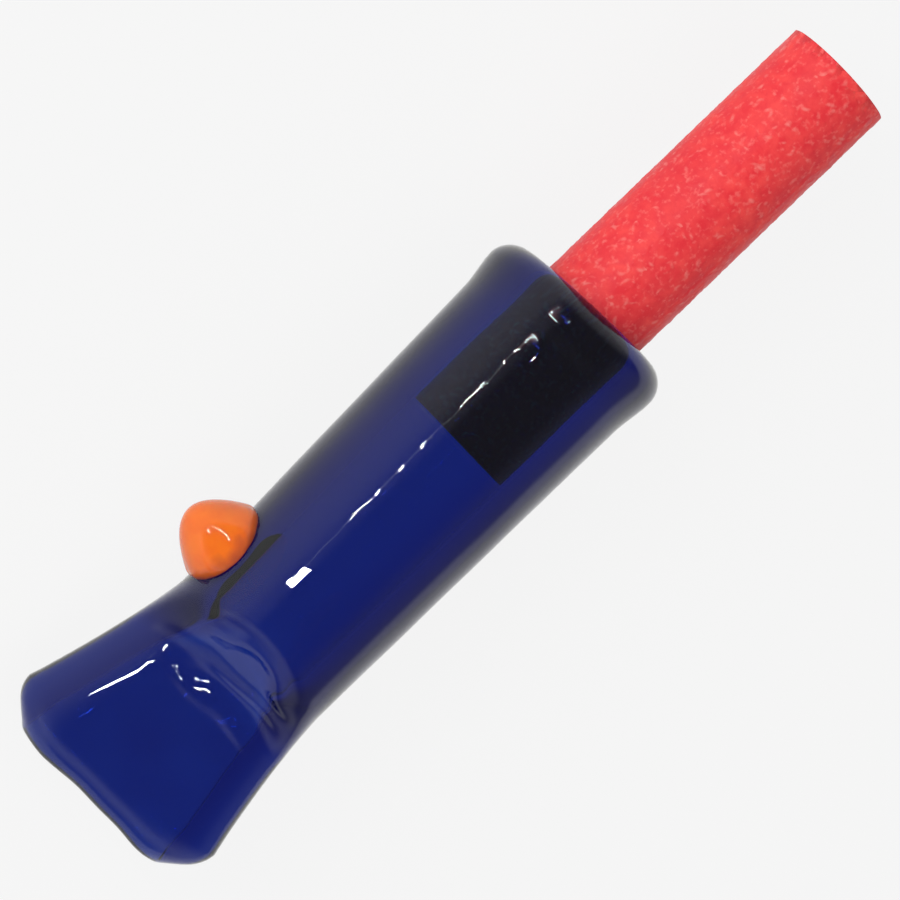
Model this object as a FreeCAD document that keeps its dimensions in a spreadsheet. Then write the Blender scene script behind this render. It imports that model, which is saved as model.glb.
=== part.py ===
"""Glass mouthpiece with a fused bead and a pushed-in paper tube.

A length of heavy-wall cobalt glass tube is pinched flat at one end into a bill that is held in
the lips. The other end opens behind a rolled collar into a socket that tapers inwards, and a
paper tube is pushed in there until the taper stops it. A bead of orange glass is melted onto
one side as a grip and to keep the mouthpiece from rolling away.

Each piece is built along +X from the mouth end, with the bill level and the bead on the +Y
side. The whole is then laid down as it comes to rest on a table: on the collar and the shoulder
of the pinch, and rolled towards the bead until the bill's edge meets the table too.
"""
import FreeCAD, Part
import math
import os
import Sketcher

os.makedirs("parts", exist_ok=True)
doc = FreeCAD.newDocument("glass_mouthpiece")
Vector = FreeCAD.Vector
Rotation = FreeCAD.Rotation
Placement = FreeCAD.Placement
X_AXIS = Vector(1, 0, 0)
Y_AXIS = Vector(0, 1, 0)
Z_AXIS = Vector(0, 0, 1)

# ---------------------------------------------------------------- driving sizes (mm, degrees)
SIZES = {
    # paper tube: a hollow card core in one turn of paper, lapped and glued along its length
    "tube_dia": 10.0,
    "tube_len": 42.8,
    "insert_len": 15.2,
    "core_wall": 0.8,
    "paper_thick": 0.06,
    "glue_film": 0.02,
    "lap_width": 2.5,
    "lap_ramp": 0.5,
    # radial clearance of the tube in its socket, at the mouth and where the taper stops it
    "mouth_clear": 0.4,
    "seat_clear": 0.03,
    # glass tube and its rolled collar
    "glass_len": 56.8,
    "wall_thick": 3.25,
    "collar_rise": 0.32,
    "collar_len": 5.8,
    "rim_round": 2.3,
    "rim_skew": 2.0,
    # pinched bill: outside
    "bill_width": 21.0,
    "bill_thick": 8.4,
    "bill_power": 2.9,
    "bill_drift": 0.95,
    "widest_at": 3.8,
    "lip_round": 2.2,
    "lip_tuck": 2.3,
    "lip_thin": 0.3,
    "mouth_skew": 2.9,
    "skew_len": 6.0,
    "flare_end": 18.0,
    "flare_power": 1.25,
    "flat_end": 14.2,
    "shoulder_at": 20.2,
    "throat_bow": 2.4,
    # pinched bill: air way
    "slot_width": 14.2,
    "slot_height": 2.0,
    # bead
    "bead_dia": 7.5,
    "bead_height": 4.2,
    "bead_nose": 2.5,
    "bead_roll": 1.15,
    "bead_swell": 0.3,
    "bead_foot": 1.6,
    "bead_foot_dia": 5.9,
    "bead_at": 22.5,
    "bead_lift": 20.0,
}

sheet = doc.addObject("Spreadsheet::Sheet", "Sizes")
for row, (alias, value) in enumerate(SIZES.items(), start=1):
    sheet.set(f"A{row}", alias)
    sheet.set(f"B{row}", str(value))
    sheet.setAlias(f"B{row}", alias)
doc.recompute()

# ---------------------------------------------------------------- sizes that follow from them
derived = doc.addObject("App::VarSet", "Derived")


def derive(name, expression):
    """Add a length or an angle that is worked out from the sheet."""
    derived.addProperty("App::PropertyFloat", name, "Derived")
    derived.setExpression(name, expression)


derive("tube_r", "Sizes.tube_dia / 2")
derive("lap_r", "Derived.tube_r + Sizes.paper_thick")
derive("paper_inner_r", "Derived.tube_r - Sizes.paper_thick")
derive("core_r", "Derived.paper_inner_r - Sizes.glue_film")
derive("core_bore_r", "Derived.core_r - Sizes.core_wall")
derive("lap_angle", "Sizes.lap_width / Derived.lap_r * 180 / pi")
derive("seat_at", "Sizes.glass_len - Sizes.insert_len")
derive("seat_r", "Derived.lap_r + Sizes.seat_clear")
derive("socket_r", "Derived.tube_r + Sizes.mouth_clear")
derive("bore_slope", "(Derived.socket_r - Derived.seat_r) / Sizes.insert_len")
derive("collar_from", "Sizes.glass_len - Sizes.collar_len")
derive("collar_crest", "Sizes.glass_len - Sizes.rim_round")
derive("bead_roll_at", "Sizes.bead_dia / 2 - Sizes.bead_roll")
derive("bead_foot_r", "Sizes.bead_foot_dia / 2")
doc.recompute()


def size(name):
    """A number from the sheet, or one that follows from it."""
    holder = sheet if name in SIZES else derived
    return float(getattr(holder, name))


# ---------------------------------------------------------------- counts of stations and trials
RING_COUNT = 16
BILL_COUNT = 7
SHOULDER_COUNT = 9
BARREL_COUNT = 2
COLLAR_COUNT = 3
LIP_COUNT = 10
RIM_COUNT = 4
REST_COUNT = 120
HALVING_COUNT = 20

# ---------------------------------------------------------------- form of the glass


def mix(start, stop, share):
    """The value that lies that share of the way from start to stop."""
    return start + (stop - start) * share


def ease(x, start, stop):
    """Rise from 0 at start to 1 at stop with level ends."""
    share = min(max((x - start) / (stop - start), 0.0), 1.0)
    return share * share * (3 - 2 * share)


def steps(start, stop, count):
    """Evenly spaced stations from start up to, but without, stop."""
    return [mix(start, stop, i / count) for i in range(count)]


def bore_radius(x):
    """The bore widens evenly from the throat to the socket's mouth."""
    return size("seat_r") + size("bore_slope") * (x - size("seat_at"))


def barrel_radius(x):
    """Outside of the tube: the bore and the wall, swelling into the collar."""
    swell = size("collar_rise") * ease(x, size("collar_from"), size("collar_crest"))
    return bore_radius(x) + size("wall_thick") + swell


def flare(x):
    """How far the sides have spread: 0 on the tube and 1 at the bill's widest place."""
    spread_len = size("flare_end") - size("widest_at")
    reach = (size("flare_end") - max(x, size("widest_at"))) / spread_len
    return max(reach, 0.0) ** size("flare_power")


def tuck(x):
    """How far the lip has drawn in: 0 at the widest place and 1 at the mouth."""
    return (max(size("widest_at") - x, 0.0) / size("widest_at")) ** 2


def pinch(x):
    """How far the tube is pressed flat: 1 on the bill and 0 from the shoulder on."""
    return 1 - ease(x, size("flat_end"), size("shoulder_at"))


def half_width(x, share):
    """Half the width at x: share 0 is the air way and 1 the outside."""
    inner = mix(bore_radius(x), size("slot_width") / 2, flare(x))
    outer = mix(barrel_radius(x), size("bill_width") / 2, flare(x)) - size("lip_tuck") * tuck(x)
    return mix(inner, outer, share)


def half_height(x, share, flat):
    """Half the height at x where the glass is pressed flat to that degree."""
    inner = mix(bore_radius(x), size("slot_height") / 2, flat)
    outer = mix(barrel_radius(x), size("bill_thick") / 2, flat) - size("lip_thin") * tuck(x)
    return mix(inner, outer, share)


def slant(x):
    """Slope of a section against square: both ends of the hand-worked tube are a little skew."""
    mouth = max(1 - x / size("skew_len"), 0.0) * math.tan(math.radians(size("mouth_skew")))
    rim = max((x - size("collar_from")) / size("collar_len"), 0.0)
    return -mouth - rim * math.tan(math.radians(size("rim_skew")))


def place(x, y, z):
    """A point of the section at x. The bill drifts towards the bead, and both ends are skew."""
    drift = size("bill_drift") * max(1 - x / size("flare_end"), 0.0)
    return Vector(x + slant(x) * y, y + drift, z)


def section(x, share, count):
    """Points round the glass: a circle on the tube, and a flat oval with full sides on the bill.

    The pinch bows: it reaches further up the tube in the middle than at the sides.
    """
    power = 2 / mix(2.0, size("bill_power"), pinch(x))
    points = []
    for angle in steps(0.0, 2 * math.pi, count):
        across, up = math.cos(angle), math.sin(angle)
        flat = pinch(x + size("throat_bow") * across**2)
        y = half_width(x, share) * math.copysign(abs(across) ** power, across)
        z = half_height(x, share, flat) * math.copysign(abs(up) ** power, up)
        points.append(place(x, y, z))
    return points


def circle(x, radius):
    """Points round a circle about the tube's axis."""
    turns = steps(0.0, 2 * math.pi, RING_COUNT)
    return [place(x, radius * math.cos(turn), radius * math.sin(turn)) for turn in turns]


def ring(points):
    """A smooth closed curve through points all round the skin."""
    shares = [i / len(points) for i in range(len(points) + 1)]
    curve = Part.BSplineCurve()
    curve.interpolate(Points=points, PeriodicFlag=True, Parameters=shares)
    return Part.Wire(curve.toShape())


def skin_ring(x, share):
    """The section at x as a curve: share 0 is the air way and 1 the outside."""
    return ring(section(x, share, RING_COUNT))


def lip_rings():
    """From the air way round the fire-polished lip to the outside of the bill."""
    turns = steps(0.0, math.pi, LIP_COUNT)
    lip = size("lip_round")
    return [skin_ring(lip * (1 - math.sin(turn)), (1 - math.cos(turn)) / 2) for turn in turns]


def rim_rings():
    """From the collar's crest round the rolled rim to the socket: two quarter turns."""
    middle_r = barrel_radius(size("collar_crest")) - size("rim_round")
    mouth_round = middle_r - size("socket_r")
    rings = []
    for turn in steps(0.0, math.pi / 2, RIM_COUNT):
        x = size("collar_crest") + size("rim_round") * math.sin(turn)
        rings.append(ring(circle(x, middle_r + size("rim_round") * math.cos(turn))))
    for turn in steps(math.pi / 2, math.pi, RIM_COUNT):
        x = size("glass_len") - mouth_round * (1 - math.sin(turn))
        rings.append(ring(circle(x, middle_r + mouth_round * math.cos(turn))))
    return rings, size("glass_len") - mouth_round


def glass_skin():
    """The whole glass as one closed skin: out along the tube, round the rim and back inside."""
    flat_sides_end = size("flat_end") - size("throat_bow")
    bill = steps(size("lip_round"), flat_sides_end, BILL_COUNT)
    shoulder = steps(flat_sides_end, size("shoulder_at"), SHOULDER_COUNT)
    barrel = steps(size("shoulder_at"), size("collar_from"), BARREL_COUNT)
    collar = steps(size("collar_from"), size("collar_crest"), COLLAR_COUNT)
    inside = bill + shoulder + barrel
    around_rim, socket_at = rim_rings()
    rings = [skin_ring(x, 1.0) for x in inside + collar]
    rings += around_rim
    rings += [skin_ring(x, 0.0) for x in [socket_at] + inside[:0:-1]]
    rings += lip_rings()
    skin = Part.makeLoft(rings + rings[:1], False, True)
    skin.sewShape()
    return Part.Solid(Part.Shell(skin.Faces))


# ---------------------------------------------------------------- helpers for the bodies
def body_of(name):
    body = doc.addObject("PartDesign::Body", name)
    body.Label = name
    return body


def sketch_on(body, role, name):
    """A sketch on one of a body's own origin planes."""
    sketch = body.newObject("Sketcher::SketchObject", name)
    plane = next(f for f in body.Origin.OriginFeatures if f.Role == role)
    sketch.AttachmentSupport = (plane, [""])
    sketch.MapMode = "FlatFace"
    return sketch


def bind(sketch, name, expression, *constraint):
    """Add a dimension to a sketch, name it and bind it to the sizes."""
    index = sketch.addConstraint(Sketcher.Constraint(*constraint))
    sketch.renameConstraint(index, name)
    sketch.setExpression(f"Constraints.{name}", expression)


def fix(sketch, *constraint):
    sketch.addConstraint(Sketcher.Constraint(*constraint))


def circle_at_origin(sketch, radius):
    drawn = sketch.addGeometry(Part.Circle(Vector(), Z_AXIS, radius), False)
    fix(sketch, "Coincident", drawn, 3, -1, 1)
    return drawn


def pad(body, sketch, length_expression):
    feature = body.newObject("PartDesign::Pad", f"{body.Name}_pad")
    feature.Profile = sketch
    feature.setExpression("Length", length_expression)
    return feature


# ---------------------------------------------------------------- glass body
def make_glass_body():
    blank = doc.addObject("Part::Feature", "glass_blank")
    blank.Shape = glass_skin()
    body = body_of("glass_body")
    body.BaseFeature = blank
    return body


# ---------------------------------------------------------------- bead
def touching_normal(first, first_r, last, last_r):
    """Direction square to the line that touches two circles on their outer side."""
    between = last - first
    return math.atan2(between.y, between.x) + math.acos((first_r - last_r) / between.Length)


def make_side_bead(glass):
    """A drop of melted glass, blunt at the nose and drawn in at its foot, that fits the tube."""
    drop = doc.addObject("PartDesign::Body", "bead_drop")
    sketch = sketch_on(drop, "XZ_Plane", "bead_profile")
    top = size("bead_height")
    nose_r, roll_r = size("bead_nose"), size("bead_roll")
    nose_centre = Vector(0, top - nose_r, 0)
    roll_centre = Vector(size("bead_roll_at"), size("bead_swell"), 0)
    foot = Vector(size("bead_foot_r"), -size("bead_foot"), 0)
    side_turn = touching_normal(nose_centre, nose_r, roll_centre, roll_r)
    skirt_turn = touching_normal(roll_centre, roll_r, foot, 0)

    def on_circle(centre, radius, turn):
        return centre + Vector(math.cos(turn), math.sin(turn), 0) * radius

    def arc(centre, radius, start, end):
        curve = Part.ArcOfCircle(Part.Circle(centre, Z_AXIS, radius), start, end)
        return sketch.addGeometry(curve, False)

    def line(start, end):
        return sketch.addGeometry(Part.LineSegment(start, end), False)

    nose = arc(nose_centre, nose_r, side_turn, math.pi / 2)
    nose_end = on_circle(nose_centre, nose_r, side_turn)
    side = line(nose_end, on_circle(roll_centre, roll_r, side_turn))
    roll = arc(roll_centre, roll_r, skirt_turn, side_turn)
    skirt = line(on_circle(roll_centre, roll_r, skirt_turn), foot)
    base = line(foot, Vector(0, foot.y, 0))
    axis = line(Vector(0, foot.y, 0), Vector(0, top, 0))
    fix(sketch, "Tangent", nose, 1, side, 1)
    fix(sketch, "Tangent", side, 2, roll, 2)
    fix(sketch, "Tangent", roll, 1, skirt, 1)
    fix(sketch, "Coincident", skirt, 2, base, 1)
    fix(sketch, "Coincident", base, 2, axis, 1)
    fix(sketch, "Coincident", axis, 2, nose, 2)
    fix(sketch, "PointOnObject", nose, 3, -2)
    fix(sketch, "PointOnObject", axis, 1, -2)
    fix(sketch, "PointOnObject", axis, 2, -2)
    fix(sketch, "Horizontal", base)
    bind(sketch, "nose", "Sizes.bead_nose", "Radius", nose, nose_r)
    bind(sketch, "roll", "Sizes.bead_roll", "Radius", roll, roll_r)
    bind(sketch, "width", "Derived.bead_roll_at", "DistanceX", -1, 1, roll, 3, roll_centre.x)
    bind(sketch, "swell", "Sizes.bead_swell", "DistanceY", -1, 1, roll, 3, roll_centre.y)
    bind(sketch, "height", "Sizes.bead_height", "DistanceY", -1, 1, axis, 2, top)
    bind(sketch, "foot", "Sizes.bead_foot", "DistanceY", axis, 1, -1, 1, -foot.y)
    bind(sketch, "foot_width", "Derived.bead_foot_r", "DistanceX", base, 2, base, 1, foot.x)
    turned = drop.newObject("PartDesign::Revolution", "bead_turned")
    turned.Profile = sketch
    turned.ReferenceAxis = (sketch, ["V_Axis"])
    turned.Angle = 360
    lift = math.radians(size("bead_lift"))
    seat_r = barrel_radius(size("bead_at"))
    seat = Vector(size("bead_at"), seat_r * math.cos(lift), seat_r * math.sin(lift))
    drop.Placement = Placement(seat, Rotation(X_AXIS, size("bead_lift") - 90))
    seated = doc.addObject("Part::Cut", "bead_seated")
    seated.Base = drop
    seated.Tool = glass
    body = body_of("side_bead")
    body.BaseFeature = seated
    return body


# ---------------------------------------------------------------- paper tube
def make_card_core():
    body = body_of("card_core")
    sketch = sketch_on(body, "YZ_Plane", "core_section")
    outer = circle_at_origin(sketch, size("core_r"))
    inner = circle_at_origin(sketch, size("core_bore_r"))
    bind(sketch, "outer", "Derived.core_r", "Radius", outer, size("core_r"))
    bind(sketch, "inner", "Derived.core_bore_r", "Radius", inner, size("core_bore_r"))
    pad(body, sketch, "Sizes.tube_len")
    return body


def make_paper_wrap():
    """One turn of paper. Its outer edge climbs over the inner one and ends opposite the bead."""
    body = body_of("paper_wrap")
    sketch = sketch_on(body, "YZ_Plane", "wrap_section")
    low_r = size("tube_r")
    high_r = size("lap_r")
    cut_at = math.pi
    climb_top = cut_at - math.radians(size("lap_angle"))
    climb_foot = climb_top - size("lap_ramp") / low_r

    def spot(radius, angle):
        return Vector(radius * math.cos(angle), radius * math.sin(angle), 0)

    inner = circle_at_origin(sketch, size("paper_inner_r"))
    low_circle = Part.Circle(Vector(), Z_AXIS, low_r)
    high_circle = Part.Circle(Vector(), Z_AXIS, high_r)
    low = sketch.addGeometry(Part.ArcOfCircle(low_circle, cut_at, climb_foot + 2 * math.pi), False)
    high = sketch.addGeometry(Part.ArcOfCircle(high_circle, climb_top, cut_at), False)
    ramp = sketch.addGeometry(Part.LineSegment(spot(high_r, climb_top), spot(low_r, climb_foot)), False)
    edge = sketch.addGeometry(Part.LineSegment(spot(low_r, cut_at), spot(high_r, cut_at)), False)
    fix(sketch, "Coincident", low, 3, -1, 1)
    fix(sketch, "Coincident", high, 3, -1, 1)
    fix(sketch, "Coincident", low, 1, edge, 1)
    fix(sketch, "Coincident", edge, 2, high, 2)
    fix(sketch, "Coincident", high, 1, ramp, 1)
    fix(sketch, "Coincident", ramp, 2, low, 2)
    fix(sketch, "PointOnObject", edge, 1, -1)
    fix(sketch, "PointOnObject", edge, 2, -1)
    bind(sketch, "inner", "Derived.paper_inner_r", "Radius", inner, size("paper_inner_r"))
    bind(sketch, "low", "Derived.tube_r", "Radius", low, low_r)
    bind(sketch, "high", "Derived.lap_r", "Radius", high, high_r)
    bind(sketch, "lap", "Derived.lap_angle", "Angle", high, math.radians(size("lap_angle")))
    bind(sketch, "ramp", "Sizes.lap_ramp", "Distance", ramp, size("lap_ramp"))
    pad(body, sketch, "Sizes.tube_len")
    return body


# ---------------------------------------------------------------- assembly
glass_body = make_glass_body()
side_bead = make_side_bead(doc.getObject("glass_blank"))
card_core = make_card_core()
paper_wrap = make_paper_wrap()
doc.recompute()

# The tube leans away from the bead as far as the clearance at the socket's mouth allows.
play = (size("mouth_clear") - size("paper_thick") - size("seat_clear")) / size("insert_len")
lean = Rotation(Z_AXIS, -math.degrees(math.atan(play)))
in_socket = Placement(Vector(size("seat_at"), 0, 0), lean)

# The table touches the tube along one side, from the shoulder to the collar's crest.
shoulder_r = barrel_radius(size("shoulder_at"))
fall = barrel_radius(size("collar_crest")) - shoulder_r
slope = fall / (size("collar_crest") - size("shoulder_at"))


def room_under_bill(roll):
    """Least room between the bill and the table when the piece has rolled so many degrees."""
    turn = math.radians(roll)
    room = math.inf
    for x in steps(size("lip_round"), size("flat_end"), BILL_COUNT):
        for point in section(x, 1.0, REST_COUNT):
            height = point.z * math.cos(turn) - point.y * math.sin(turn)
            room = min(room, height + shoulder_r + slope * (point.x - size("shoulder_at")))
    return room


level, upright = 0.0, 90.0
for _ in range(HALVING_COUNT):
    roll = (level + upright) / 2
    level, upright = (roll, upright) if room_under_bill(roll) > 0 else (level, roll)
pitch = Rotation(Y_AXIS, -math.degrees(math.atan(slope)))
lying = Placement(Vector(), pitch * Rotation(X_AXIS, -roll))

local = {glass_body: Placement(), side_bead: Placement(), card_core: in_socket, paper_wrap: in_socket}
for body, own in local.items():
    body.Placement = lying.multiply(own)
doc.recompute()

# The origin is under the middle of the whole, on the table.
bounds = FreeCAD.BoundBox()
for body in local:
    bounds.add(body.Shape.optimalBoundingBox(False))
to_origin = Placement(Vector(-bounds.Center.x, -bounds.Center.y, -bounds.ZMin), Rotation())
for body in local:
    body.Placement = to_origin.multiply(body.Placement)
doc.recompute()

# ---------------------------------------------------------------- check and write
faults = [item.Name for item in doc.Objects if "Invalid" in item.State or "Error" in item.State]
for body in local:
    if body.Shape.isNull() or not body.Shape.isValid() or len(body.Shape.Solids) != 1:
        faults.append(body.Label)
if faults:
    raise RuntimeError(f"not built: {', '.join(faults)}")
for body in local:
    body.Shape.exportStep(f"parts/{body.Label}.step")
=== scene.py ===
"""Blender scene of a flame-worked glass mouthpiece with a fused bead and a pushed-in paper tube."""
import math
import random

import bpy
import numpy as np
from mathutils import Matrix, Vector


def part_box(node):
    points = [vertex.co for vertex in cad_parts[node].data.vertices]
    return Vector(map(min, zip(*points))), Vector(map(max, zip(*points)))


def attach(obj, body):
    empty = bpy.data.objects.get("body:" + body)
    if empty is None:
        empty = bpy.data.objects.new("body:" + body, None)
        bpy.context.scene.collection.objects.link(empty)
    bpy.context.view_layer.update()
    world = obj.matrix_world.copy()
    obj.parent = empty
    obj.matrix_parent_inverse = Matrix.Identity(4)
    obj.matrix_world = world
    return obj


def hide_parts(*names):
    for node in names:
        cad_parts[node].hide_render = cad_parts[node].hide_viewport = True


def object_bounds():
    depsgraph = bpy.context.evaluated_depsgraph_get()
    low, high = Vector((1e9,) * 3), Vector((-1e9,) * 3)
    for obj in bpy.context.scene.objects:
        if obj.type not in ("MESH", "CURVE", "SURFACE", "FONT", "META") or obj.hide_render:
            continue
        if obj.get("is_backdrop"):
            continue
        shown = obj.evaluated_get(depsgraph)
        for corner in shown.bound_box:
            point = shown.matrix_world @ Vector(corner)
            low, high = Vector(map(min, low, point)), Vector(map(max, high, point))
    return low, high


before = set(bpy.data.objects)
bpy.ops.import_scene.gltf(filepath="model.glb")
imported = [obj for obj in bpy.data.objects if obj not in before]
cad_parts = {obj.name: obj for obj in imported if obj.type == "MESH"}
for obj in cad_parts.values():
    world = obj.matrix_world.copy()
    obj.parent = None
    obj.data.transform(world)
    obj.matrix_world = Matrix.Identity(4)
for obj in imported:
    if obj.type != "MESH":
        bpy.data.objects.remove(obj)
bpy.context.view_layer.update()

MM = 0.001
scene = bpy.context.scene

# ---------------------------------------------------------------- sizes (mm), as the CAD model has them
TUBE_R = 5.0
TUBE_LEN = 42.8
INSERT_LEN = 15.2
CORE_WALL = 0.8
PAPER = 0.06
GLUE = 0.02
LAP_WIDTH = 2.5
LAP_RAMP = 0.5
MOUTH_CLEAR = 0.4
SEAT_CLEAR = 0.03
GLASS_LEN = 56.8
WALL = 3.25
COLLAR_RISE = 0.32
COLLAR_LEN = 5.8
RIM_ROUND = 2.3
RIM_SKEW = math.tan(math.radians(2.0))
BILL_WIDTH = 21.0
BILL_THICK = 8.4
BILL_POWER = 2.9
BILL_DRIFT = 0.95
WIDEST_AT = 3.8
LIP_ROUND = 2.2
LIP_TUCK = 2.3
LIP_THIN = 0.3
MOUTH_SKEW = math.tan(math.radians(2.9))
SKEW_LEN = 6.0
FLARE_END = 18.0
FLARE_POWER = 1.25
FLAT_END = 14.2
SHOULDER_AT = 20.2
THROAT_BOW = 2.4
SLOT_WIDTH = 14.2
SLOT_HEIGHT = 2.0
BEAD_AT = 22.5
BEAD_LIFT = math.radians(20.0)
BEAD_HEIGHT = 4.2
BEAD_ROLL = 1.15
BEAD_ROLL_AT = 2.6
BEAD_SWELL = 0.3
UNDER_SOONER = 1.6
UNDER_LATER = 2.2
LAP_R = TUBE_R + PAPER
LAP_TURN = LAP_WIDTH / LAP_R
SEAT_AT = GLASS_LEN - INSERT_LEN
SEAT_R = LAP_R + SEAT_CLEAR
BORE_SLOPE = (TUBE_R + MOUTH_CLEAR - SEAT_R) / INSERT_LEN
LEAN = math.atan((MOUTH_CLEAR - PAPER - SEAT_CLEAR) / INSERT_LEN)
CREST = GLASS_LEN - RIM_ROUND

# the piece's own frame, with the bill level, turned into the frame it lies in
ROLL = math.radians(29.98675)
PITCH = math.radians(1.70257)
LYING = Matrix.Rotation(-PITCH, 3, "Y") @ Matrix.Rotation(-ROLL, 3, "X")


def ease(x, start, stop):
    share = np.clip((x - start) / (stop - start), 0.0, 1.0)
    return share * share * (3 - 2 * share)


def mix(a, b, share):
    return a + (b - a) * share


def steps(start, stop, gap):
    """Stations about that far apart, from start up to, but without, stop."""
    return np.linspace(start, stop, max(int(abs(stop - start) / gap), 1), endpoint=False)


# ---------------------------------------------------------------- smooth seeded waves
def make_waves(count, lengths, seed):
    """Plane waves with random directions, as one smooth field of about unit height."""
    source = random.Random(seed)
    waves = []
    for _ in range(count):
        z = source.uniform(-1, 1)
        turn = source.uniform(0, 2 * math.pi)
        flat = math.sqrt(1 - z * z)
        direction = np.array([z, flat * math.cos(turn), flat * math.sin(turn)])
        waves.append((direction * 2 * math.pi / source.uniform(*lengths), source.uniform(0, 2 * math.pi)))
    return waves


def field(points, waves):
    total = np.zeros(len(points))
    for vector, phase in waves:
        total += np.sin(points @ vector + phase)
    return total / math.sqrt(len(waves))


# ---------------------------------------------------------------- closed skins made of rings
def torus_faces(count, ring):
    """Faces between neighbouring rings, where the last ring joins the first one."""
    a = np.arange(count)[:, None] * ring
    b = np.roll(np.arange(count), -1)[:, None] * ring
    i = np.arange(ring)[None, :]
    j = (i + 1) % ring
    return np.stack([a + i, a + j, b + j, b + i], axis=2).reshape(-1, 4)


def ring_normals(grid):
    """Outward normals of a torus of rings."""
    along = np.roll(grid, -1, 0) - np.roll(grid, 1, 0)
    around = np.roll(grid, -1, 1) - np.roll(grid, 1, 1)
    normal = np.cross(around, along)
    return normal / (np.linalg.norm(normal, axis=2)[:, :, None] + 1e-12)


def mesh_object(name, points, faces):
    """A smooth mesh in metres, from points of the row frame in millimetres."""
    mesh = bpy.data.meshes.new(name)
    mesh.from_pydata([tuple(p) for p in np.asarray(points) * MM], [], [tuple(f) for f in faces])
    mesh.validate()
    mesh.shade_smooth()
    obj = bpy.data.objects.new(name, mesh)
    scene.collection.objects.link(obj)
    return obj


def keep_values(obj, name, values):
    """Store one number a point, for the materials."""
    obj.data.attributes.new(name, "FLOAT", "POINT").data.foreach_set("value", np.asarray(values, np.float32))


def lay_down(points):
    return np.asarray(points, float) @ np.array(LYING).T


# ---------------------------------------------------------------- form of the glass
RING = 256
TURN_GAP = 0.09  # radians between rings round the rim and the lip
ANGLES = np.arange(RING) * 2 * math.pi / RING
COS, SIN = np.cos(ANGLES), np.sin(ANGLES)
OUTER_WAVES = make_waves(9, (5.0, 11.0), 11)
FINE_WAVES = make_waves(12, (2.0, 3.6), 5)
INNER_WAVES = make_waves(9, (3.0, 6.5), 23)
THROAT_WAVES = make_waves(8, (3.5, 7.0), 41)
OUTER_HEIGHT, FINE_HEIGHT, INNER_HEIGHT = 0.013, 0.0016, 0.06
SKIN_INSET = 0.03
WEAR_REACH = 5.5
# the line round the barrel that mirrors the row of lamps: calmer glass with a shallow groove
LINE_AT = math.radians(78.25)
LINE_SPREAD = 0.35
GROOVE_DEPTH, GROOVE_WIDTH = 0.042, 0.9
# folds that the pinching left across the throat, and their middle
FOLD_HEIGHT, FOLD_SINK = 0.10, 0.04
FOLD_GAP, FOLD_BOW, FOLD_WANDER = 2.5, 0.045, 1.3
FOLD_SIDE, FOLD_SPAN = 1.5, 4.8
# the melted ring round the bead
MELT_HEIGHT, MELT_R, MELT_WIDTH = 0.13, 3.35, 0.38


def bore_radius(x):
    return SEAT_R + BORE_SLOPE * (x - SEAT_AT)


def barrel_radius(x):
    return bore_radius(x) + WALL + COLLAR_RISE * ease(x, GLASS_LEN - COLLAR_LEN, CREST)


def flare(x):
    return max((FLARE_END - max(x, WIDEST_AT)) / (FLARE_END - WIDEST_AT), 0.0) ** FLARE_POWER


def tuck(x):
    return (max(WIDEST_AT - x, 0.0) / WIDEST_AT) ** 2


def section(x, share):
    """Points of the section at x: share 0 is the air way and 1 the outside.

    The underside runs into the bill over a longer stretch than the top.
    """
    under = np.where(SIN < 0, 1.0, 0.0)
    start, stop = FLAT_END - UNDER_SOONER * under, SHOULDER_AT + UNDER_LATER * under
    flat = 1 - ease(x + THROAT_BOW * COS ** 2, start, stop)
    wide = mix(mix(bore_radius(x), SLOT_WIDTH / 2, flare(x)),
               mix(barrel_radius(x), BILL_WIDTH / 2, flare(x)) - LIP_TUCK * tuck(x), share)
    high = mix(mix(bore_radius(x), SLOT_HEIGHT / 2, flat),
               mix(barrel_radius(x), BILL_THICK / 2, flat) - LIP_THIN * tuck(x), share)
    power = 2 / mix(2.0, BILL_POWER, 1 - ease(x, start, stop))
    return wide * np.sign(COS) * np.abs(COS) ** power, high * np.sign(SIN) * np.abs(SIN) ** power


def place(x, y, z):
    """Sections are a little skew at both ends and drift towards the bead on the bill."""
    slant = -MOUTH_SKEW * max(1 - x / SKEW_LEN, 0.0)
    slant -= RIM_SKEW * max((x - GLASS_LEN + COLLAR_LEN) / COLLAR_LEN, 0.0)
    drift = BILL_DRIFT * max(1 - x / FLARE_END, 0.0)
    return np.stack([x + slant * y, y + drift, z], axis=1)


def worn_back(points):
    """The fire drew the middle of the mouth and its corner on the bead's side back a little."""
    x, y = points[:, 0], points[:, 1] - BILL_DRIFT
    near = np.clip(1 - x / WEAR_REACH, 0, 1) ** 1.5
    middle = 0.30 * np.exp(-((y - 2.0) / 4.5) ** 2)
    bead_corner = 1.2 * ease(y, 4.5, 10.5)
    far_corner = 0.34 * np.exp(-((y + 6.3) / 2.4) ** 2)
    back = middle + 0.03 * np.sin(y * 1.3) + 0.03
    back += bead_corner - far_corner
    return points + np.outer(back * near, (1, 0, 0))


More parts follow.
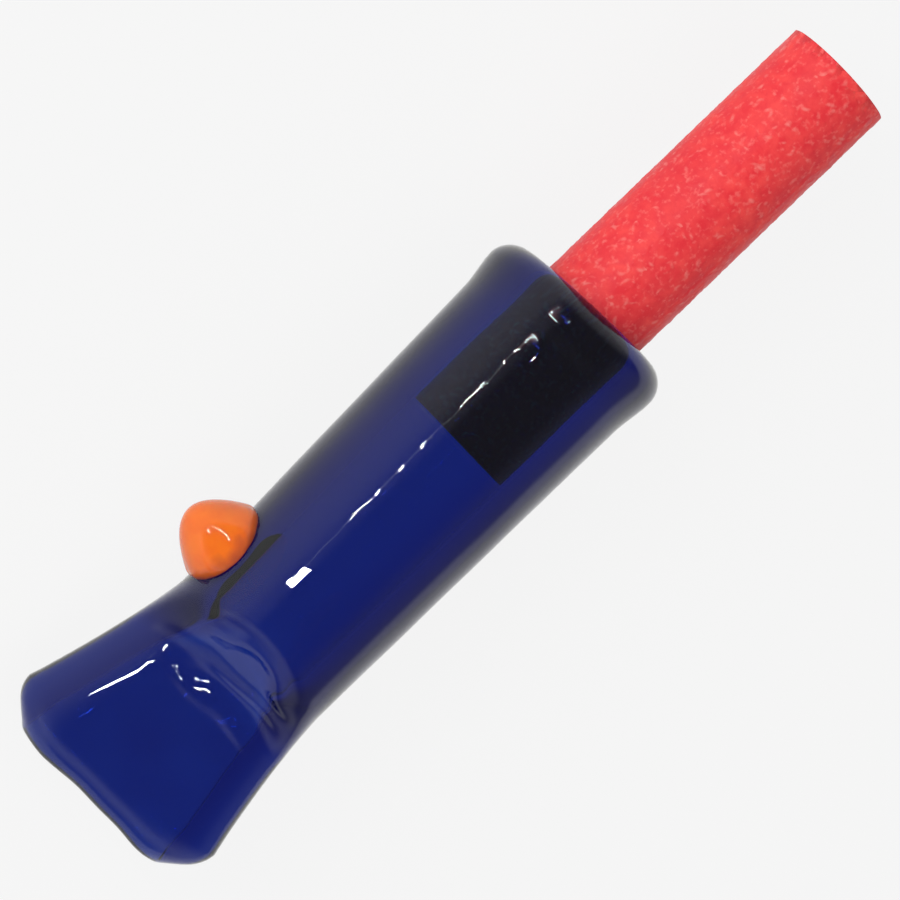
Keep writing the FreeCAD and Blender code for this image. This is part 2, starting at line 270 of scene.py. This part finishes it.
def glass_rings():
    """Rings from the lip along the outside, round the rim and back inside, and each one's share."""
    rings, outness = [], []

    def add(x, y, z, share):
        rings.append(place(x, y, z))
        outness.append(share)

    collar_from = GLASS_LEN - COLLAR_LEN
    # the rings stand closer together where the form turns quicker
    for x in [*steps(LIP_ROUND, 27, 0.2), *steps(27, collar_from, 0.3), *steps(collar_from, CREST, 0.2)]:
        add(x, *section(x, 1.0), 1.0)
    middle = barrel_radius(CREST) - RIM_ROUND
    mouth = middle - (TUBE_R + MOUTH_CLEAR)
    for turn in steps(0.0, math.pi / 2, TURN_GAP):
        r = middle + RIM_ROUND * math.cos(turn)
        add(CREST + RIM_ROUND * math.sin(turn), r * COS, r * SIN, 1 - turn / math.pi)
    for turn in steps(math.pi / 2, math.pi, TURN_GAP):
        r = middle + mouth * math.cos(turn)
        add(GLASS_LEN - mouth * (1 - math.sin(turn)), r * COS, r * SIN, 1 - turn / math.pi)
    for x in [*steps(GLASS_LEN - mouth, 21, 0.3), *steps(21, LIP_ROUND, 0.22)]:
        add(x, *section(x, 0.0), 0.0)
    for turn in steps(0.0, math.pi, TURN_GAP):
        x = LIP_ROUND * (1 - math.sin(turn))
        share = (1 - math.cos(turn)) / 2
        add(x, *section(x, share), share)
    return np.array(rings), np.array(outness)


BEAD_OUT = np.array([0.0, math.cos(BEAD_LIFT), math.sin(BEAD_LIFT)])
BEAD_SIDE = np.array([0.0, -math.sin(BEAD_LIFT), math.cos(BEAD_LIFT)])
BEAD_SEAT = np.array([BEAD_AT, 0.0, 0.0]) + BEAD_OUT * barrel_radius(BEAD_AT)


def around_bead(points):
    """Distance from the bead's own axis. The far side of the barrel counts as far away."""
    away = points - BEAD_SEAT
    flat = away - np.outer(away @ BEAD_OUT, BEAD_OUT)
    return np.linalg.norm(flat, axis=1) + np.where(away @ BEAD_OUT < -3.0, 100.0, 0.0)


def make_glass():
    """The points without and with what fire and hand left, and the faces."""
    grid, outness = glass_rings()
    normal = ring_normals(grid).reshape(-1, 3)
    points = grid.reshape(-1, 3)
    out = np.repeat(outness, RING)
    x = points[:, 0]
    on_tube = ease(x, 15.0, 21.0)
    outside = out > 0.99
    from_line = np.tile(ANGLES, len(grid)) - LINE_AT
    in_line = np.exp(-(from_line / LINE_SPREAD) ** 2)
    ripple = OUTER_HEIGHT * field(points, OUTER_WAVES) * mix(0.25, 1.0, on_tube) * mix(1.0, 0.12, in_line)
    ripple = (ripple - SKIN_INSET) * out
    ripple += FINE_HEIGHT * field(points, FINE_WAVES) * out * on_tube * in_line
    groove = np.exp(-(from_line * barrel_radius(x) / GROOVE_WIDTH) ** 2)
    ripple -= GROOVE_DEPTH * groove * outside * ease(x, 11.0, 17.0)
    y = points[:, 1] + FOLD_SIDE
    fold = np.sin(2 * math.pi * (x + FOLD_BOW * y * y) / FOLD_GAP + FOLD_WANDER * field(points, THROAT_WAVES))
    in_throat = ease(x, 10.0, 12.5) * (1 - ease(x, 17.0, 20.0)) * np.exp(-(y / FOLD_SPAN) ** 4)
    ripple += (FOLD_HEIGHT * fold - FOLD_SINK) * out * (in_throat * (points[:, 2] > 0))
    in_bill = (1 - out) * (1 - ease(x, 17.0, 24.0)) * ease(x, 0.8, 3.0)
    ripple += INNER_HEIGHT * field(points, INNER_WAVES) * in_bill
    ripple += MELT_HEIGHT * np.exp(-((around_bead(points) - MELT_R) / MELT_WIDTH) ** 2) * outside
    return points, worn_back(points + normal * ripple[:, None]), torus_faces(len(grid), RING)


# the row frame's origin comes from where the CAD glass lies
plain_points, glass_points, glass_faces = make_glass()
laid = lay_down(plain_points)
low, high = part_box("glass_body")
shift = (np.array(low + high) / MM - laid.min(0) - laid.max(0)) / 2


def to_row(points):
    """From the piece's own frame to the row frame, both in millimetres."""
    return lay_down(points) + shift


def add_piece(name, points, faces, body, node):
    """A detailed piece that stands for a CAD node. Its points are in the piece's own frame."""
    obj = mesh_object(name, to_row(points), faces)
    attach(obj, body)
    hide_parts(node)
    return obj


glass = add_piece("glass_skin", glass_points, glass_faces, "glass", "glass_body")


# ---------------------------------------------------------------- bead
BEAD_RING = 160
PLEAT_COUNT = 11
PLEAT_START = random.Random(3).uniform(0, 0.4)
PLEATS = [(PLEAT_START + 2 * math.pi * i / PLEAT_COUNT, 0.03 + 0.05 * random.Random(i).random())
          for i in range(PLEAT_COUNT)]
FOOT_R = 3.3
# the nose's top is nearly level, where it mirrors the lamps
TOP_DEPTH, TOP_CUT, TOP_SOFT = 0.6, 0.68, 0.16


def bead_profile():
    """Radius and height from the nose down over the roll above the foot."""
    flow = [(r, BEAD_HEIGHT - r * r / 3.9) for r in np.linspace(0.02, 3.45, 44)]
    roll = [(BEAD_ROLL_AT + BEAD_ROLL * math.cos(t), BEAD_SWELL + BEAD_ROLL * math.sin(t))
            for t in np.linspace(0.52, -0.45, 14)]
    return flow + roll


def make_bead():
    """The bead's points, its faces, and each point's height over the barrel, for the painted shade at the
    foot in the material.
    """
    turns = np.arange(BEAD_RING) * 2 * math.pi / BEAD_RING
    ring_points, heights = [], []

    def saddle(r):
        """Height of the barrel's skin under the ring of that radius."""
        across = r * np.sin(turns)
        here = barrel_radius(BEAD_AT) + BORE_SLOPE * r * np.cos(turns)
        return np.sqrt(here ** 2 - across ** 2) - barrel_radius(BEAD_AT)

    def add(r, height):
        r = r + np.zeros(BEAD_RING)
        height = height + np.zeros(BEAD_RING)
        spots = BEAD_SEAT + np.outer(r * np.cos(turns), (1, 0, 0)) + np.outer(r * np.sin(turns), BEAD_SIDE)
        ring_points.append(spots + np.outer(height, BEAD_OUT))
        heights.append(height)

    pleat = np.zeros(BEAD_RING)
    for at, depth in PLEATS:
        gap = (turns - at + math.pi) % (2 * math.pi) - math.pi
        pleat += depth * np.exp(-(gap / 0.10) ** 2)
    for r, height in bead_profile():
        droop = ease(1.6 - height, 0.0, 2.0) * 0.5 * saddle(3.4)
        low_down = ease(1.9 - height, 0.0, 1.6)
        add(r - pleat * low_down, height + droop)
    r_last, h_last = bead_profile()[-1]
    h_last = h_last + 0.5 * saddle(3.4)
    for share in np.linspace(0.15, 1.0, 8):
        r = mix(r_last, FOOT_R, share)
        add(r - pleat, mix(h_last, saddle(FOOT_R) - 0.02, share))
    # the foot closes inside the barrel's glass
    for r, sink in ((3.2, 0.16), (3.0, 0.26), (2.2, 0.3), (1.0, 0.3), (0.02, 0.3)):
        add(r, saddle(r) - sink)
    points = np.concatenate(ring_points)
    lump = field(points, make_waves(7, (2.4, 5.0), 31))
    points = points - np.outer(0.02 * (lump + 1.6), BEAD_OUT)
    proud = np.maximum(points[:, 2] - points[:, 2].max() + TOP_DEPTH, 0)
    points[:, 2] -= TOP_CUT * (proud - TOP_SOFT * (1 - np.exp(-proud / TOP_SOFT)))
    count = len(ring_points)
    faces = [tuple(f) for f in torus_faces(count, BEAD_RING)[:(count - 1) * BEAD_RING]]
    faces.append(tuple(range(BEAD_RING)))
    faces.append(tuple(range(count * BEAD_RING - 1, (count - 1) * BEAD_RING - 1, -1)))
    return points, faces, np.concatenate(heights)


bead_points, bead_faces, bead_heights = make_bead()
bead = add_piece("bead_skin", bead_points, bead_faces, "glass", "side_bead")
keep_values(bead, "height", bead_heights)


# ---------------------------------------------------------------- paper tube
def in_socket(points):
    """From the tube's own frame to the piece's: seated, and leaning away from the bead."""
    x, y, z = points.T
    cos, sin = math.cos(LEAN), math.sin(LEAN)
    return np.stack([x * cos + y * sin + SEAT_AT, y * cos - x * sin, z], axis=1)


def tube_ring(x, radius, angles):
    """One ring of the tube. x and radius are each one number, or one number a point."""
    return np.stack([x + np.zeros(len(angles)), radius * np.cos(angles), radius * np.sin(angles)], axis=1)


def around_seam():
    """Angles round the paper, close together at the lap."""
    fine = np.arange(math.pi - LAP_TURN - 0.2, math.pi + 0.28, 0.012)
    rest = np.arange(fine[-1] + 0.025, fine[0] + 2 * math.pi - 0.01, 0.025)
    return np.concatenate([fine, rest])


FIBRE_REACH = 1.3
FIBRE_COUNT = 3600
PALE_FROM = 0.78


def fibre_relief(along, angles, seed, count):
    """Pulp fibres that stand up a little: height and how pale each spot is."""
    source = random.Random(seed)
    height = np.zeros((len(along), len(angles)))
    pale = np.zeros_like(height)
    gap = along[1] - along[0]
    for _ in range(count):
        x0, turn0 = source.uniform(0, TUBE_LEN), source.uniform(0, 2 * math.pi)
        lie = source.uniform(0, math.pi)
        long, wide = source.uniform(0.14, 0.42), source.uniform(0.08, 0.19)
        bend, rise, fleck = source.uniform(-1.4, 1.4), source.uniform(0.3, 1.0), source.random()
        first = max(int((x0 - FIBRE_REACH) / gap), 0)
        last = min(int((x0 + FIBRE_REACH) / gap) + 1, len(along))
        dx = along[first:last, None] - x0
        dy = ((angles[None, :] - turn0 + math.pi) % (2 * math.pi) - math.pi) * TUBE_R
        a = dx * math.cos(lie) + dy * math.sin(lie)
        b = dy * math.cos(lie) - dx * math.sin(lie) - bend * a * a
        bump = np.exp(-(a / long) ** 2 - (b / wide) ** 2)
        height[first:last] = np.maximum(height[first:last], rise * bump)
        if fleck > PALE_FROM:
            pale[first:last] = np.maximum(pale[first:last], (fleck - 0.62) * 2.0 * bump)
    return height, pale


def make_wrap():
    """The paper's points and faces, and for the material how pale and how torn each point is."""
    angles = around_seam()
    along = np.linspace(0, TUBE_LEN, 300)
    turn = angles[None, :]
    wander = 0.05 * np.sin(along * 0.7) + 0.03 * np.sin(along * 2.3 + 1)
    from_edge = (turn - math.pi) * TUBE_R - wander[:, None]
    lap_start = math.pi - LAP_TURN
    high = ease(turn, lap_start - LAP_RAMP / TUBE_R, lap_start) * (1 - ease(from_edge, -0.04, 0.02))
    relief, pale = fibre_relief(along, angles, 4, FIBRE_COUNT)
    spots = np.broadcast_arrays(along[:, None], TUBE_R * np.cos(turn), TUBE_R * np.sin(turn))
    spots = np.stack(spots, axis=2).reshape(-1, 3)
    crumple = field(spots, make_waves(14, (0.8, 2.2), 12)).reshape(relief.shape)
    radius = TUBE_R + PAPER * high - 0.05 + 0.05 * relief - 0.009 * (crumple + 1.5)
    torn = 0.5 * np.exp(-((from_edge + 0.03) / 0.05) ** 2)
    rings = [tube_ring(x, r, angles) for x, r in zip(along, radius)]
    rings += [tube_ring(x, TUBE_R - PAPER, angles) for x in (*steps(TUBE_LEN, 0, 1.5), 0.0)]
    inside = np.zeros((len(rings) - len(along)) * len(angles))
    faces = torus_faces(len(rings), len(angles))
    return np.concatenate(rings), faces, np.append(pale, inside), np.append(torn, inside)


CARD_RING = 192
CARD_LAYERS = 13
RINGS_A_LAYER = 3
CHAMFER = 0.03


def make_core():
    """Card tube with a layered cut end and a faint seam inside."""
    turns = np.arange(CARD_RING) * 2 * math.pi / CARD_RING
    outer, inner = TUBE_R - PAPER - GLUE, TUBE_R - PAPER - GLUE - CORE_WALL
    source = random.Random(17)
    rings, depth = [], []

    def add(x, r, deep):
        seam = 0.03 * np.exp(-((turns - 1.1) / 0.03) ** 2) * (r < inner + 0.01)
        rings.append(tube_ring(x, r + seam, turns))
        depth.append(deep)

    for x in steps(0.0, TUBE_LEN - CHAMFER, 1.0):
        add(x, outer, 0.0)
    count = CARD_LAYERS * RINGS_A_LAYER
    for end, order in ((TUBE_LEN, range(count)), (0.0, range(count, 0, -1))):
        for k in order:
            in_groove = k % RINGS_A_LAYER == 1
            groove = 0.035 if in_groove else source.uniform(0.0, 0.012)
            fray = groove + 0.008 * (1 + np.sin(turns * source.randint(5, 23) + k))
            add(end - fray if end else end + fray, outer - CORE_WALL * k / count, 1.0 if in_groove else 0.2)
        if end:
            for x in steps(TUBE_LEN - CHAMFER, CHAMFER, 1.0):
                add(x, inner, 0.0)
    return np.concatenate(rings), torus_faces(len(rings), CARD_RING), np.repeat(depth, CARD_RING)


wrap_points, wrap_faces, wrap_pale, wrap_torn = make_wrap()
wrap = add_piece("wrap_skin", in_socket(wrap_points), wrap_faces, "tube", "paper_wrap")
keep_values(wrap, "pale", wrap_pale)
keep_values(wrap, "torn", wrap_torn)
core_points, core_faces, core_groove = make_core()
core = add_piece("core_skin", in_socket(core_points), core_faces, "tube", "card_core")
keep_values(core, "groove", core_groove)


# ---------------------------------------------------------------- materials
MIX_A, MIX_B, MIX_OUT = 6, 7, 2  # the colour sockets of a Mix node
COBALT = (0.0, 0.353, 0.754, 1)
COBALT_DENSITY = 1096.0


def map_range(tree, source, low, high, to_low=0.0, to_high=1.0, kind="LINEAR"):
    node = tree.nodes.new("ShaderNodeMapRange")
    node.interpolation_type = kind
    for name, number in (("From Min", low), ("From Max", high), ("To Min", to_low), ("To Max", to_high)):
        node.inputs[name].default_value = number
    tree.links.new(source, node.inputs["Value"])
    return node.outputs["Result"]


def maths(tree, operation, first, second):
    """A Math node on two items, each a number or an output."""
    node = tree.nodes.new("ShaderNodeMath")
    node.operation = operation
    for index, item in enumerate((first, second)):
        if isinstance(item, (int, float)):
            node.inputs[index].default_value = item
        else:
            tree.links.new(item, node.inputs[index])
    return node.outputs["Value"]


class Paint:
    """A node material with short ways to add what the finishes share."""

    def __init__(self, name):
        self.material = bpy.data.materials.new(name)
        self.material.use_nodes = True
        self.tree = self.material.node_tree
        self.nodes, self.links = self.tree.nodes, self.tree.links
        self.shader = self.nodes["Principled BSDF"]

    def set(self, **values):
        for name, value in values.items():
            self.shader.inputs[name.replace("_", " ")].default_value = value

    def feed(self, output, name):
        self.links.new(output, self.shader.inputs[name])

    def noise(self, scale, detail=2.0, stretch=(1, 1, 1)):
        coords = self.nodes.new("ShaderNodeTexCoord")
        mapping = self.nodes.new("ShaderNodeMapping")
        mapping.inputs["Scale"].default_value = stretch
        noise = self.nodes.new("ShaderNodeTexNoise")
        noise.inputs["Scale"].default_value = scale
        noise.inputs["Detail"].default_value = detail
        self.links.new(coords.outputs["Object"], mapping.inputs["Vector"])
        self.links.new(mapping.outputs["Vector"], noise.inputs["Vector"])
        return noise.outputs["Fac"]

    def value(self, name):
        node = self.nodes.new("ShaderNodeAttribute")
        node.attribute_name = name
        return node.outputs["Fac"]

    def ramp(self, source, low, high, to_low=0.0, to_high=1.0):
        return map_range(self.tree, source, low, high, to_low, to_high)

    def blend(self, share, first, second):
        """Mix two colours, each a tuple or an output."""
        node = self.nodes.new("ShaderNodeMix")
        node.data_type = "RGBA"
        self.links.new(share, node.inputs["Factor"])
        for socket, item in ((node.inputs[MIX_A], first), (node.inputs[MIX_B], second)):
            if isinstance(item, tuple):
                socket.default_value = (*item, 1)
            else:
                self.links.new(item, socket)
        return node.outputs[MIX_OUT]

    def bump(self, height, distance, strength=1.0):
        node = self.nodes.new("ShaderNodeBump")
        node.inputs["Strength"].default_value = strength
        node.inputs["Distance"].default_value = distance
        self.links.new(height, node.inputs["Height"])
        self.feed(node.outputs["Normal"], "Normal")


def cobalt_glass():
    paint = Paint("cobalt_glass")
    paint.set(Base_Color=(1, 1, 1, 1), Transmission_Weight=1.0, IOR=1.48)
    smear = paint.noise(220, 3.0, (0.25, 1, 1))
    paint.feed(paint.ramp(smear, 0.45, 0.8, 0.004, 0.02), "Roughness")
    absorb = paint.nodes.new("ShaderNodeVolumeAbsorption")
    absorb.inputs["Color"].default_value = COBALT
    absorb.inputs["Density"].default_value = COBALT_DENSITY
    paint.links.new(absorb.outputs["Volume"], paint.nodes["Material Output"].inputs["Volume"])
    return paint.material


def orange_glass():
    paint = Paint("orange_glass")
    height = paint.value("height")
    cloud = paint.noise(420, 3.0)
    streak = paint.noise(900, 2.0, (1, 1, 0.3))
    body = paint.blend(paint.ramp(cloud, 0.35, 0.7), (0.92, 0.185, 0.012), (0.84, 0.145, 0.014))
    # painted shade: the bead turns dark brown-orange towards its foot on the barrel, by height over the
    # barrel with a streaky edge, as contact shade
    drift = maths(paint.tree, "ADD", height, paint.ramp(streak, 0.3, 0.7, -0.35, 0.35))
    paint.feed(paint.blend(paint.ramp(drift, 0.9, -0.5), body, (0.50, 0.085, 0.03)), "Base Color")
    paint.set(IOR=1.5, Subsurface_Weight=0.35, Subsurface_Scale=0.0008)
    paint.shader.inputs["Subsurface Radius"].default_value = (1.0, 0.3, 0.08)
    paint.feed(paint.ramp(streak, 0.3, 0.75, 0.008, 0.03), "Roughness")
    return paint.material


def red_paper():
    paint = Paint("red_paper")
    mottle = paint.noise(900, 4.0)
    broad = paint.noise(180, 3.0)
    red = paint.blend(paint.ramp(mottle, 0.38, 0.68), (0.86, 0.034, 0.045), (0.97, 0.075, 0.070))
    red = paint.blend(paint.ramp(broad, 0.4, 0.65, 0.0, 0.5), red, (0.76, 0.035, 0.050))
    red = paint.blend(paint.ramp(paint.noise(2300, 2.0), 0.54, 0.72, 0.0, 0.5), red, (0.97, 0.19, 0.17))
    red = paint.blend(paint.ramp(paint.value("pale"), 0.1, 0.9, 0.0, 0.8), red, (0.97, 0.30, 0.26))
    paint.feed(paint.blend(paint.value("torn"), red, (0.93, 0.62, 0.58)), "Base Color")
    paint.feed(paint.ramp(mottle, 0.3, 0.7, 0.38, 0.6), "Roughness")
    paint.set(Specular_IOR_Level=0.3)
    paint.bump(paint.noise(2600, 3.0), 0.00004, 0.7)
    return paint.material


def grey_card():
    paint = Paint("grey_card")
    fibre = paint.noise(1500, 4.0, (0.35, 1, 1))
    patch = paint.noise(260, 2.0)
    tone = paint.blend(paint.ramp(fibre, 0.3, 0.7), (0.50, 0.43, 0.34), (0.70, 0.63, 0.53))
    tone = paint.blend(paint.ramp(patch, 0.4, 0.7, 0.0, 0.4), tone, (0.60, 0.50, 0.38))
    tone = paint.blend(paint.ramp(paint.value("groove"), 0.3, 1.0), tone, (0.33, 0.27, 0.20))
    paint.feed(tone, "Base Color")
    paint.feed(paint.ramp(fibre, 0.3, 0.7, 0.75, 0.95), "Roughness")
    paint.bump(fibre, 0.00003, 0.6)
    return paint.material


for node, obj, material in (("glass_body", glass, cobalt_glass()), ("side_bead", bead, orange_glass()),
                            ("paper_wrap", wrap, red_paper()), ("card_core", core, grey_card())):
    obj.data.materials.append(material)
    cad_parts[node].data.materials.clear()
    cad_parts[node].data.materials.append(material)


# ---------------------------------------------------------------- floor, world, lights, camera
FLOOR_SIDE = 3000.0
FLOOR_GREY = (0.62, 0.62, 0.62, 1)
FLOOR_GLOW = 0.966
FLOOR_SHARE = 0.9
BACKDROP = (0.922, 0.922, 0.922, 1)
BACKDROP_TOP = (0.12, 0.30)
AMBIENT = 0.20
# brighter regions of the surroundings: axis of the piece, cosines where one starts and is full, gain
SKY = [((0, 1, 0), 0.22, 0.62, 0.62), ((0, -1, 0), 0.80, 1.0, 0.15), ((1, 0, 0), 0.6, 0.95, 0.5),
       ((-1, 0, 0), 0.2, 0.6, 0.6), ((-1, 0, 0), 0.7, 0.95, -0.5)]


def ray_kinds(tree):
    """1 for rays straight from the camera, and 1 for rays that the piece mirrors or lets through."""
    path = tree.nodes.new("ShaderNodeLightPath")
    bent = maths(tree, "MAXIMUM", path.outputs["Is Glossy Ray"], path.outputs["Is Transmission Ray"])
    return path.outputs["Is Camera Ray"], bent


def show(tree, share, under, over, output):
    """Lay one shader over another by that share, as what the tree gives."""
    node = tree.nodes.new("ShaderNodeMixShader")
    for socket, item in ((node.inputs["Fac"], share), (node.inputs[1], under), (node.inputs[2], over)):
        tree.links.new(item, socket)
    tree.links.new(node.outputs["Shader"], tree.nodes[output].inputs["Surface"])


def make_floor():
    """A floor that shows nearly white, directly and through or on the glass, and keeps a shadow."""
    corners = [(-FLOOR_SIDE, -FLOOR_SIDE, 0), (FLOOR_SIDE, -FLOOR_SIDE, 0),
               (FLOOR_SIDE, FLOOR_SIDE, 0), (-FLOOR_SIDE, FLOOR_SIDE, 0)]
    floor = mesh_object("floor", corners, [(0, 1, 2, 3)])
    paint = Paint("floor_white")
    paint.set(Base_Color=FLOOR_GREY, Roughness=0.9, Specular_IOR_Level=0.0)
    glow = paint.nodes.new("ShaderNodeEmission")
    glow.inputs["Color"].default_value = (1, 1, 1, 1)
    glow.inputs["Strength"].default_value = FLOOR_GLOW
    straight, bent = ray_kinds(paint.tree)
    share = maths(paint.tree, "MULTIPLY", maths(paint.tree, "MAXIMUM", straight, bent), FLOOR_SHARE)
    show(paint.tree, share, paint.shader.outputs["BSDF"], glow.outputs["Emission"], "Material Output")
    floor.data.materials.append(paint.material)
    floor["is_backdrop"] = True


def make_world():
    """A pale backdrop low down all round, and graded light above it."""
    world = bpy.data.worlds.new("studio")
    scene.world = world
    world.use_nodes = True
    tree = world.node_tree
    toward = tree.nodes.new("ShaderNodeTexCoord").outputs["Generated"]
    total = AMBIENT
    for axis, start, stop, gain in SKY:
        along = tree.nodes.new("ShaderNodeVectorMath")
        along.operation = "DOT_PRODUCT"
        tree.links.new(toward, along.inputs[0])
        along.inputs[1].default_value = LYING @ Vector(axis)
        rise = map_range(tree, along.outputs["Value"], start, stop, 0.0, gain, "SMOOTHSTEP")
        total = maths(tree, "ADD", rise, total)
    graded = tree.nodes["Background"]
    graded.inputs["Color"].default_value = (1, 1, 1, 1)
    tree.links.new(total, graded.inputs["Strength"])
    pale = tree.nodes.new("ShaderNodeBackground")
    pale.inputs["Color"].default_value = BACKDROP
    height = tree.nodes.new("ShaderNodeSeparateXYZ")
    tree.links.new(toward, height.inputs[0])
    low_down = map_range(tree, height.outputs["Z"], *BACKDROP_TOP, 1.0, 0.0, "SMOOTHSTEP")
    straight, bent = ray_kinds(tree)
    share = maths(tree, "MAXIMUM", straight, maths(tree, "MULTIPLY", bent, low_down))
    show(tree, share, graded.outputs["Background"], pale.outputs["Background"], "World Output")


AIM = Vector(to_row([[40.65, -0.08, 0.0]])[0]) * MM


def panel(name, centre, toward, width, height, radiance):
    """A rectangular area light of even radiance. All lengths are in mm, in the piece's own frame."""
    light = bpy.data.lights.new(name, "AREA")
    light.shape = "RECTANGLE"
    light.size = width * MM
    light.size_y = height * MM
    light.energy = radiance * math.pi * light.size * light.size_y
    obj = bpy.data.objects.new(name, light)
    scene.collection.objects.link(obj)
    back = (LYING @ Vector(toward)).normalized() * -1
    side = (LYING @ Vector((0, 1, 0))).cross(back).normalized()
    top = back.cross(side)
    turn = Matrix((side, top, back)).transposed()
    obj.matrix_world = Matrix.Translation(AIM + LYING @ Vector(centre) * MM) @ turn.to_4x4()
    obj.visible_camera = False
    return obj


def around(angle, distance):
    """A spot round the piece's length: angle from the camera's axis towards the bead."""
    return Vector((0, math.sin(angle), math.cos(angle))) * distance


LAMPS = [(-32.2, -28.4), (-26.2, -24.2), (-21.6, -19.4), (-15.0, -14.4), (-8.5, -1.7), (1.8, 3.1), (5.0, 6.6),
         (15.2, 17.8), (18.4, 19.0), (19.6, 20.2), (20.8, 21.4), (22.0, 23.0)]
LAMP_WIDTH, LAMP_GLOW = 2.2, 170
STRIP_WIDTH, STRIP_GLOW = 1.8, 110
ROW_GLOW = 1.0
ROW_SPOT = around(math.radians(23.5), 330)
ROW_LEFT, ROW_RIGHT = -44, 23
LEFT_ARM, RIGHT_ARM = 26, 100
HOOK, HOOK_IN = 16, 9
SOFT_BOXES = (("key", math.radians(32), 3.6), ("fill", math.radians(-50), 1.3))
BOX_FAR, BOX_SIDE = 520, 320


def make_lights():
    """A row of small lamps along the piece with an arm at each end, and two soft boxes."""
    def strip(name, x, y, width, height, radiance):
        panel(name, ROW_SPOT + Vector((x, y, 0)), -ROW_SPOT, width, height, radiance)

    for start, stop in LAMPS:
        strip("lamp", (start + stop) / 2, 0, stop - start, LAMP_WIDTH, LAMP_GLOW)
    strip("lamp_row", (ROW_LEFT + ROW_RIGHT) / 2, 0, ROW_RIGHT - ROW_LEFT, STRIP_WIDTH, ROW_GLOW)
    for x, reach in ((ROW_LEFT, LEFT_ARM), (ROW_RIGHT, RIGHT_ARM)):
        strip("arm", x, -reach / 2, STRIP_WIDTH, reach, STRIP_GLOW)
    strip("hook", ROW_RIGHT - HOOK_IN, -RIGHT_ARM, HOOK, STRIP_WIDTH, STRIP_GLOW)
    for name, angle, radiance in SOFT_BOXES:
        box = panel(name, around(angle, BOX_FAR), -around(angle, 1), BOX_SIDE, BOX_SIDE, radiance)
        box.visible_glossy = False
        box.visible_transmission = False


PHOTO_SIDE = 900
PHOTO_FOCAL = 4047  # focal length in the photograph's pixels
PHOTO_TURN = math.radians(45.12)
SENSOR = 36.0
CAMERA_FAR = 0.328


def make_camera():
    """A camera that looks straight down on the flat of the bill, as the photograph does."""
    data = bpy.data.cameras.new("camera")
    data.sensor_width = SENSOR
    data.lens = SENSOR * PHOTO_FOCAL / PHOTO_SIDE
    data.clip_start, data.clip_end = 0.01, 20.0
    camera = bpy.data.objects.new("camera", data)
    scene.collection.objects.link(camera)
    turn = LYING @ Matrix.Rotation(-PHOTO_TURN, 3, "Z")
    camera.matrix_world = Matrix.Translation(AIM + LYING @ Vector((0, 0, CAMERA_FAR))) @ turn.to_4x4()
    scene.camera = camera


make_floor()
make_world()
make_lights()
make_camera()
scene.view_settings.view_transform = "Standard"

low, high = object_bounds()
